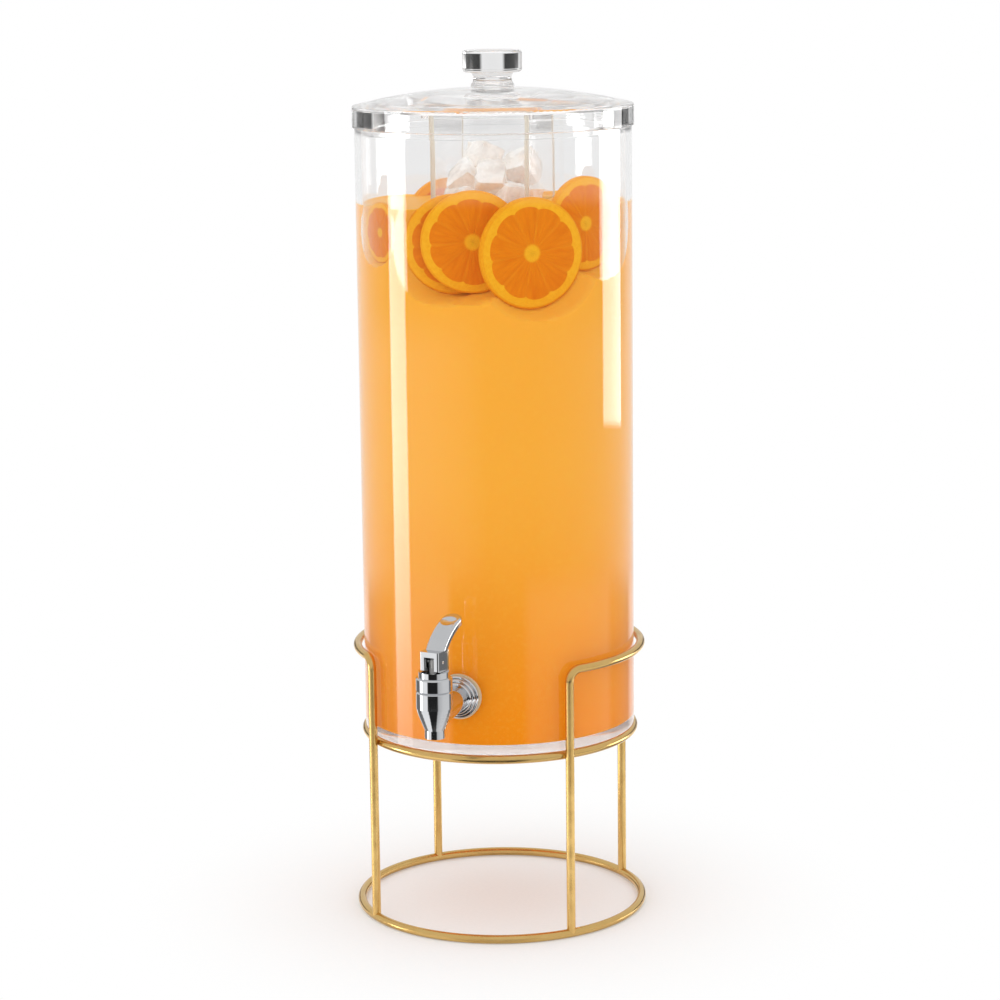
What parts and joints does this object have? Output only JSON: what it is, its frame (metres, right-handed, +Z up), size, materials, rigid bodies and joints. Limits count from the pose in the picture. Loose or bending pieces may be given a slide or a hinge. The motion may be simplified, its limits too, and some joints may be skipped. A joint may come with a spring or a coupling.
{
  "type": "round beverage dispenser",
  "caption": "Clear cylindrical drink dispenser with a square ice chamber, a domed lid and a lever tap, standing in a bent-wire stand.",
  "frame": {"origin": "on the floor, under the axis of the tank", "axes": "+Z up along the axis of the tank, -Y to the front where the tap is, +X to the right seen from the front"},
  "size_m": [0.2201, 0.2826, 0.6435],
  "materials": {
    "gold_wire": "polished brass plate",
    "clear_acrylic": "clear polished acrylic",
    "silicone": "translucent silicone",
    "chrome": "bright chrome plate",
    "stainless": "drawn stainless steel",
    "white_nylon": "moulded nylon"
  },
  "bodies": {
    "stand": {"base_ring": "gold_wire", "support_ring": "gold_wire", "hoop": "gold_wire", "front_leg_left": "gold_wire", "front_leg_right": "gold_wire", "rear_leg_left": "gold_wire", "rear_leg_right": "gold_wire"},
    "tank": {"tank_tube": "clear_acrylic", "tank_base": "clear_acrylic", "outer_washer": "silicone", "inner_washer": "silicone", "tap_flange": "chrome", "shank_nut": "white_nylon", "tap_body": "chrome", "bonnet_gasket": "silicone", "tap_bonnet": "chrome", "stem_o_ring": "silicone", "tap_spring": "stainless"},
    "ice_chamber": {"chamber_front": "clear_acrylic", "chamber_rear": "clear_acrylic", "chamber_left": "clear_acrylic", "chamber_right": "clear_acrylic", "chamber_base": "clear_acrylic"},
    "lid": {"lid": "clear_acrylic", "lid_knob": "clear_acrylic"},
    "valve": {"seat_cup": "silicone"},
    "stem": {"valve_stem": "stainless"},
    "lever": {"tap_lever": "chrome", "lever_pin": "stainless"}
  },
  "joints": [
    {"name": "tank_lift", "type": "slide", "parent": "stand", "child": "tank", "axis": [0, 0, 1], "range_m": [0, 0.12]},
    {"name": "chamber_lift", "type": "slide", "parent": "tank", "child": "ice_chamber", "axis": [0, 0, 1], "range_m": [0, 0.445]},
    {"name": "lid_lift", "type": "slide", "parent": "ice_chamber", "child": "lid", "axis": [0, 0, 1], "range_m": [0, 0.2]},
    {"name": "stem_lift", "type": "slide", "parent": "tank", "child": "valve", "axis": [0, 0, 1], "range_m": [0, 0.00168], "deforming": ["tap_spring"]},
    {"name": "lever_swivel", "type": "hinge", "parent": "valve", "child": "stem", "pos_m": [0, -0.1595, 0.2], "axis": [0, 0, 1], "continuous": true},
    {"name": "lever_pull", "type": "hinge", "parent": "stem", "child": "lever", "pos_m": [0, -0.1595, 0.2241], "axis": [0.9781, -0.2079, 0], "range_deg": [0, 30], "stiffness_Nm_per_rad": 0.03, "springref_deg": -51.57}
  ],
  "couplings": [
    {"joint": "lever_pull", "follows": "stem_lift", "rad_per_m": 312.5}
  ]
}
